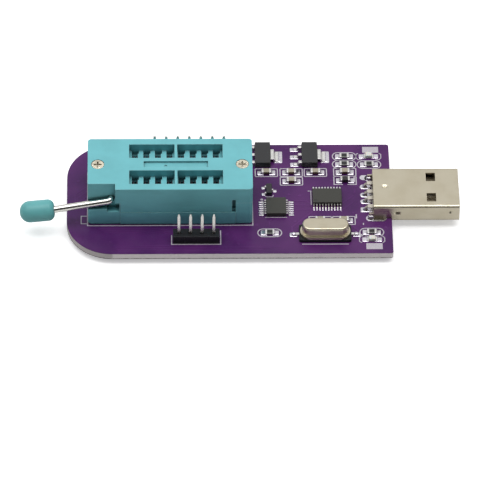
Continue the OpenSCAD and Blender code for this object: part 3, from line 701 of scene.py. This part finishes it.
for low, high, side in ((front_strip_low, front_strip_high, -1), (rear_strip_low, rear_strip_high, 1)):
    edge_y = low.y if side < 0 else high.y
    y = edge_y + side * 0.14
    x0, x1 = low.x - 0.3, high.x + 0.25
    drawn([(x0, edge_y - side * 2.6), (x0, y), (x1, y), (x1, edge_y - side * 4.0)])
# chips
x, y = controller.x, controller.y
drawn([(x - 4.2, y + 2.3), (x - 3.5, y + 2.3), (x - 3.5, y - 1.9)], 0.18)
x, y = translator.x, translator.y
drawn([(x - 2.5, y - 2.68), (x + 2.4, y - 2.68)], 0.18)
for dash in (-0.7, 0.75, 1.75):
    drawn([(x + dash - 0.25, y + 2.72), (x + dash + 0.25, y + 2.72)], 0.16)
print_top.prism(disc(x - 3.1, y + 2.75, 0.3), 0, INK)
x, y = transistor.x, transistor.y
drawn([(x - 1.0, y - 1.2), (x - 0.75, y - 1.72), (x + 0.75, y - 1.72), (x + 1.0, y - 1.2)], 0.18)
# crystal
low, high = box("crystal_insulator")
drawn([(low.x + 0.6, low.y - 0.5), (high.x - 0.6, low.y - 0.5)])
drawn([(low.x + 0.4, high.y + 0.4), (high.x - 0.4, high.y + 0.4)])
# plug: ticks beside the pads
drawn([(plug_low.x - 2.85, 5.0), (plug_low.x - 2.85, 6.6)], 0.3)
drawn([(plug_low.x - 2.75, -4.9), (plug_low.x - 2.75, -6.1)], 0.3)
drawn([(plug_low.x - 1.25, -7.5), (plug_low.x - 1.25, -8.1)], 0.25)
print_top.make("printed_outlines", ink, slot="board")

# copper-free laminate inside the small parts' outlines shows darker through the mask
dark = Shape()
for spot in resistors:
    dark.prism(rounded(spot.x, spot.y, 4.96, 2.11, 1.05, 8), 0, 0.012)
for spot in capacitors + ferrites:
    dark.prism(rounded(spot.x, spot.y, 4.66, 2.16, 0.05, 2), 0, 0.012)
for side in (-1, 1):
    dark.prism(rounded(controller.x, controller.y + side * 2.9, 6.6, 1.7, 0.1, 2), 0, 0.012)
    dark.prism(rounded(translator.x + side * 3.15, translator.y, 1.6, 4.7, 0.1, 2), 0, 0.012)
dark.make("copper_clearances", masked_laminate, slot="board")

# masked tracks and vias
tracks = Shape()


def track(start, *ends, width=0.28):
    """Copper track with 45 degree bends from point to point."""
    for end in ends:
        dx, dy = end[0] - start[0], end[1] - start[1]
        slant = min(abs(dx), abs(dy))
        bend = (end[0] - math.copysign(slant, dx), end[1] - math.copysign(slant, dy))
        bends = slant > 0.05 and (Vector(bend) - Vector(start)).length > 0.1
        path = [start, bend, end] if bends else [start, end]
        tracks.line(path, width, 0, COPPER)
        start = end


for k, pin in enumerate(centres("front_header_pins")):
    track((pin.x, pin.y + 1.5), (pin.x, front - 0.1))
for k in range(4):
    y = front_strip_low.y - 0.6 - 0.5 * k
    track((right + 6 - 2 * k, y - 0.2), (front_strip_high.x - 2 + k, y), (left + 5.5 + 0.4 * k, y))
for k in range(3):
    y = front - 0.9 - 0.55 * k
    track((front_strip_low.x - 1.2, y - 0.4), (front_strip_low.x - 2.0, y), (left + 2.4 + 0.6 * k, y))
for k in range(3):
    x = left - 2.8 + 0.5 * k
    track((left - 0.3, 3.6 - 1.1 * k), (x, 1.4 - 1.1 * k), (x, -3.5))
for k in range(1, 4):
    y = translator.y - 1.6 + 1.3 * k
    track((translator.x + 4.0, y), (controller.x - 3.0 + 0.65 * k, controller.y - 4.1))
for k in range(2):
    track((controller.x + 1.3 + 0.65 * k, controller.y - 3.8), (plug_low.x - 3.2, -1.0 + 2.0 * k))
for side in (-1, 1):
    lead_end = (crystal.x + side * 7.2, crystal.y + 0.6)
    track(lead_end, (controller.x + side * 2.1 - 1.2, controller.y - 4.0), width=0.35)
for spot in regulators:
    track((spot.x - 2.9, spot.y - 2.9), (spot.x - 3.2, capacitors[0].y + 1.3), width=0.9)
    track((spot.x + 3.6, spot.y - 1.8), (spot.x + 1.9, capacitors[0].y + 1.3), width=0.9)
right_stack = max(resistors, key=lambda p: p.x + p.y)
track((right_stack.x - 2.8, right_stack.y), (right_stack.x - 3.4, 3.2), (plug_low.x - 3.1, 1.6), width=0.4)
track((resistors[0].x, resistors[0].y + 2.2), (translator.x - 1.0, translator.y - 3.3))
vias = ((-33.2, 5.5), (-33.5, -7.0), (-26.0, -12.9), (-14.8, -9.1), (-0.6, -10.8), (1.8, -13.6))
vias += ((14.4, -6.9), (15.6, 0.9), (16.2, 5.6), (13.2, 1.2), (27.2, -4.4), (28.9, -8.7))
vias += ((33.9, 8.6), (34.2, -8.9), (5.9, -8.0), (22.6, 5.4), (12.9, 15.3), (29.0, 15.4))
for vx, vy in vias:
    tracks.lathe(vx, vy, [(0.34, 0), (0.34, 0.025), (0.26, 0.035), (0.12, 0.03), (0.06, 0.012)], 14)
tracks.make("masked_tracks", masked_copper, slot="board")

# underside tracks
bottom = Shape()
low_z = -BOARD_T - COPPER
for k, pin in enumerate(centres("rear_header_pins")):
    x, y = pin.x, pin.y
    step = 0.6 * k
    bottom.line([(x, y - 0.6), (x, 7.4 - step * 0.5), (x + 1.6, 5.8 - step * 0.5)], 0.3, low_z, -BOARD_T)
for k in range(5):
    y = -8.0 - 0.8 * k
    bend = 10 + 0.33 * k
    bottom.line([(-26 + k, y), (bend, y), (bend + 5, y + 5), (26, y + 5)], 0.3, low_z, -BOARD_T)
for k in range(3):
    y = 1.2 - 1.2 * k
    bottom.line([(-30, y), (8 + k, y), (11 + k, y + 3), (24, y + 3)], 0.5, low_z, -BOARD_T)
bottom.make("underside_tracks", masked_copper, slot="board")

# plated rims of the leg slots
rims = Shape()
slot_r = 0.6
rim_w = 0.34
rim_r = slot_r + rim_w / 2
for side in (-1, 1):
    cy = side * (plug_high.y + 0.1)
    near, far = plug_low.x + 0.3, plug_low.x + 3.0
    path = [(plug_low.x + 0.85, cy - side * rim_r)]
    for i in range(9):
        a = math.radians(-90 - 180 * i / 8) * side
        path.append((near + rim_r * math.cos(a), cy + rim_r * math.sin(a)))
    for i in range(5):
        a = math.radians(90 - 90 * i / 4) * side
        path.append((far + rim_r * math.cos(a), cy + rim_r * math.sin(a)))
    rims.line(path, rim_w, 0, PAD)
    rims.line(path, rim_w, -BOARD_T - PAD, -BOARD_T)
rims.prism(rounded(plug_low.x - 0.7, 6.3, 1.9, 1.5, 0.7), 0, PAD)
rims.make("plated_rims", solder, slot="tinned_metal")

# dark glass coat over each resistor's film
coats = Shape()
for spot in resistors:
    top = box("resistor_bodies")[1].z
    outline = rounded(spot.x, spot.y, 1.12, 0.86, 0.16)
    coats.loft([at(outline, top - 0.02), at(outline, top + 0.03), at(inset(outline, 0.86), top + 0.05)])
coats.make("resistor_coats", ceramic_finish("resistor_glass", (36, 36, 38), 0.25), slot="resistor_film")


# ---------- plug shell ----------

def plug_mesh():
    """Drawn sheet with its windows, stamped dimples and solder legs, on a fine grid."""
    low, high = plug_low, plug_high
    shell_l, shell_h = 18.85, 4.5      # drawn body without its legs
    r, t = 0.6, 0.3                    # outer corner radius and sheet thickness
    half_w, half_h = high.y, shell_h / 2
    z_mid = high.z - half_h
    x_rear, x_mouth = high.x - shell_l, high.x
    window_mid, window_w = 3.1, 2.55
    window_x = (x_mouth - 7.15, x_mouth - 5.1)
    window_y = (window_mid - window_w / 2, window_mid + window_w / 2)

    def span(start, end, step, fixed):
        """Grid values from start to end that include the fixed ones."""
        marks = sorted([start, end] + [v for v in fixed if start < v < end])
        values = [start]
        for a, b in zip(marks, marks[1:]):
            count = max(1, round((b - a) / step))
            values += [a + (b - a) * i / count for i in range(1, count + 1)]
        return values

    cuts = [s * v for s in (-1, 1) for v in window_y]
    flat_y = span(-(half_w - r), half_w - r, 0.22, cuts)
    flat_z = span(-(half_h - r), half_h - r, 0.25, [])
    arc = [math.radians(15 * i) for i in range(1, 6)]
    flat_w, flat_h = half_w - r, half_h - r
    # (centre y, centre z, normal y, normal z) of each point round the section
    loop = [(y, flat_h, 0.0, 1.0) for y in flat_y]
    loop += [(flat_w, flat_h, math.sin(a), math.cos(a)) for a in arc]
    loop += [(flat_w, z, 1.0, 0.0) for z in reversed(flat_z)]
    loop += [(flat_w, -flat_h, math.cos(a), -math.sin(a)) for a in arc]
    loop += [(y, -flat_h, 0.0, -1.0) for y in reversed(flat_y)]
    loop += [(-flat_w, -flat_h, -math.sin(a), -math.cos(a)) for a in arc]
    loop += [(-flat_w, z, -1.0, 0.0) for z in flat_z]
    loop += [(-flat_w, flat_h, -math.cos(a), math.sin(a)) for a in arc]
    stations = span(x_rear, x_mouth, 0.2, list(window_x) + [x_mouth - 0.1])
    # stamped dimples: (x0, x1, y, z, radius, depth), alike above and below, and on the two sides
    dimples = []
    for sign in (-1, 1):
        dimples.append((x_rear + 2.3, x_rear + 2.8, 0.3, sign * half_h, 0.36, 0.3))
        dimples.append((x_rear + 5.0, x_rear + 5.5, sign * half_w, 0.2, 0.36, 0.4))
        dimples.append((x_mouth - 2.1, x_mouth - 1.95, sign * half_w, 0.35, 0.3, 0.4))

    def sunk(x, y, z):
        depth = 0.0
        for x0, x1, dimple_y, dimple_z, radius, deep in dimples:
            dx = max(x0 - x, 0, x - x1)
            away = math.sqrt(dx * dx + (y - dimple_y) ** 2 + (z - dimple_z) ** 2)
            share = max(0.0, 1 - away / (radius * 1.35))
            depth = max(depth, deep * (3 * share ** 2 - 2 * share ** 3))
        return depth

    shape = Shape()
    n = len(loop)
    for x in stations:
        for level in (0, 1):
            for cy, cz, ny, nz in loop:
                reach = r - level * t
                if x > x_mouth - 0.05 or x < x_rear + 0.02:
                    reach += -0.06 if level == 0 else 0.06
                y, z = cy + ny * reach, cz + nz * reach
                d = sunk(x, cy + ny * r, cz + nz * r)
                shape.points.append((x, y - ny * d, z_mid + z - nz * d))

    def index(i, level, j):
        return (i * 2 + level) * n + j % n

    def open_cell(i, j):
        x = (stations[i] + stations[i + 1]) / 2
        a, b = loop[j], loop[(j + 1) % n]
        y = (a[0] + b[0]) / 2
        flat = abs(a[3]) > 0.99 and abs(b[3]) > 0.99
        return flat and window_x[0] < x < window_x[1] and window_y[0] < abs(y) < window_y[1]

    last = len(stations) - 1
    for i in range(last):
        for j in range(n):
            if open_cell(i, j):
                continue
            # the cell's corners: outer and inner skin, at its near and far end
            out_near, out_far = [[index(i + end, 0, j + turn) for turn in (0, 1)] for end in (0, 1)]
            in_near, in_far = [[index(i + end, 1, j + turn) for turn in (0, 1)] for end in (0, 1)]
            shape.faces.append((out_near[0], out_far[0], out_far[1], out_near[1]))
            shape.faces.append((in_near[0], in_near[1], in_far[1], in_far[0]))
            if i and open_cell(i - 1, j):
                shape.faces.append((out_near[0], out_near[1], in_near[1], in_near[0]))
            if i < last - 1 and open_cell(i + 1, j):
                shape.faces.append((out_far[0], in_far[0], in_far[1], out_far[1]))
            if open_cell(i, (j - 1) % n):
                shape.faces.append((out_near[0], in_near[0], in_far[0], out_far[0]))
            if open_cell(i, (j + 1) % n):
                shape.faces.append((out_near[1], out_far[1], in_far[1], in_near[1]))
    for i in (0, last):
        for j in range(n):
            shape.faces.append((index(i, 0, j), index(i, 0, j + 1), index(i, 1, j + 1), index(i, 1, j)))
    # solder legs
    for side in (-1, 1):
        y0, y1 = side * half_w, side * (half_w - t)
        y = (y0 + y1) / 2
        shape.prism(rounded(x_rear - 0.45, y, 1.1, t, 0.08, 3), -0.3, 1.4)
        shape.prism(rounded(x_rear - 0.58, y, 0.84, t, 0.08, 3), low.z, 0)
    return shape


shell = plug_mesh().make("plug_shell_sheet", nickel, slot="plug_nickel", angle=40)
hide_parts("plug_shell")

# ---------- floor, light and camera ----------

object_low, object_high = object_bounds()
middle = (object_low + object_high) / 2


def stage_floor():
    f = Finish("paper_sweep")
    fibre = f.noise(0.3, 4)
    paper = f.mix(fibre, (0.93, 0.93, 0.93, 1), (0.96, 0.96, 0.96, 1))
    direct = f.add("ShaderNodeLightPath").outputs["Is Camera Ray"]
    f.put(f.bsdf.inputs["Base Color"], f.mix(direct, (0.72, 0.72, 0.72, 1), paper))
    f.put(f.bsdf.inputs["Roughness"], 0.9)
    f.put(f.bsdf.inputs["Specular IOR Level"], 0.0)
    f.put(f.bsdf.inputs["Emission Color"], (1, 1, 1, 1))
    f.put(f.bsdf.inputs["Emission Strength"], f.calc("MULTIPLY", direct, 0.45))
    f.put(f.bsdf.inputs["Normal"], f.bump(fibre, 0.01))
    mesh = bpy.data.meshes.new("floor")
    half = 3.0
    z = object_low.z
    corners = [(-half, -half, z), (half, -half, z), (half, half, z), (-half, half, z)]
    mesh.from_pydata(corners, [], [(0, 1, 2, 3)])
    mesh.materials.append(f.material)
    floor = bpy.data.objects.new("floor", mesh)
    bpy.context.scene.collection.objects.link(floor)


def softbox(name, place, size, power, mirrored):
    data = bpy.data.lights.new(name, "AREA")
    data.shape = "RECTANGLE"
    data.size, data.size_y = size
    data.energy = power
    lamp = bpy.data.objects.new(name, data)
    lamp.location = middle + Vector(place)
    lamp.rotation_mode = "QUATERNION"
    lamp.rotation_quaternion = (-Vector(place)).to_track_quat("-Z", "Y")
    lamp.visible_glossy = mirrored
    bpy.context.scene.collection.objects.link(lamp)


stage_floor()
softbox("overhead", (0.0, 0.0, 0.9), (1.3, 0.5), 6.2, True)
softbox("left", (-0.9, -0.1, 0.4), (0.4, 0.7), 0.5, False)


def studio_world():
    """Bright above and behind the object, and dark low down in front of it."""
    world = bpy.data.worlds.new("studio")
    bpy.context.scene.world = world
    world.use_nodes = True
    tree = world.node_tree
    background = next(n for n in tree.nodes if n.type == "BACKGROUND")
    place = tree.nodes.new("ShaderNodeTexCoord")
    lean = tree.nodes.new("ShaderNodeVectorMath")
    lean.operation = "DOT_PRODUCT"
    lean.inputs[1].default_value = (0.0, 0.5, 0.85)
    shade = tree.nodes.new("ShaderNodeMapRange")
    shade.interpolation_type = "SMOOTHSTEP"
    for name, value in (("From Min", 0.2), ("From Max", 0.8), ("To Min", 0.04), ("To Max", 0.72)):
        shade.inputs[name].default_value = value
    tree.links.new(place.outputs["Generated"], lean.inputs[0])
    tree.links.new(lean.outputs["Value"], shade.inputs["Value"])
    tree.links.new(shade.outputs[0], background.inputs["Strength"])
    background.inputs["Color"].default_value = (1, 1, 1, 1)


studio_world()

azimuth, elevation, roll = (math.radians(a) for a in (-1.589, 46.524, 0.951))
distance = 1.1522
aim_right, aim_up = 2.41, -9.07        # millimetres across the view, from the board's middle
back_dir = Vector((math.sin(azimuth) * math.cos(elevation), -math.cos(azimuth) * math.cos(elevation),
                   math.sin(elevation)))
right_dir = Vector((math.cos(azimuth), math.sin(azimuth), 0))
up_dir = back_dir.cross(right_dir)
right_rolled = right_dir * math.cos(roll) + up_dir * math.sin(roll)
up_rolled = up_dir * math.cos(roll) - right_dir * math.sin(roll)
aim = ORIGIN + (right_rolled * aim_right + up_rolled * aim_up) * MM
lens = bpy.data.cameras.new("photo_view")
lens.sensor_width = 36
lens.lens = 392.7
lens.clip_start, lens.clip_end = 0.01, 20
camera = bpy.data.objects.new("photo_view", lens)
bpy.context.scene.collection.objects.link(camera)
camera.location = aim + back_dir * distance
camera.rotation_mode = "QUATERNION"
axes = Matrix((right_rolled, up_rolled, back_dir)).transposed()
camera.rotation_quaternion = axes.to_quaternion()
bpy.context.scene.camera = camera
bpy.context.scene.view_settings.view_transform = "Standard"
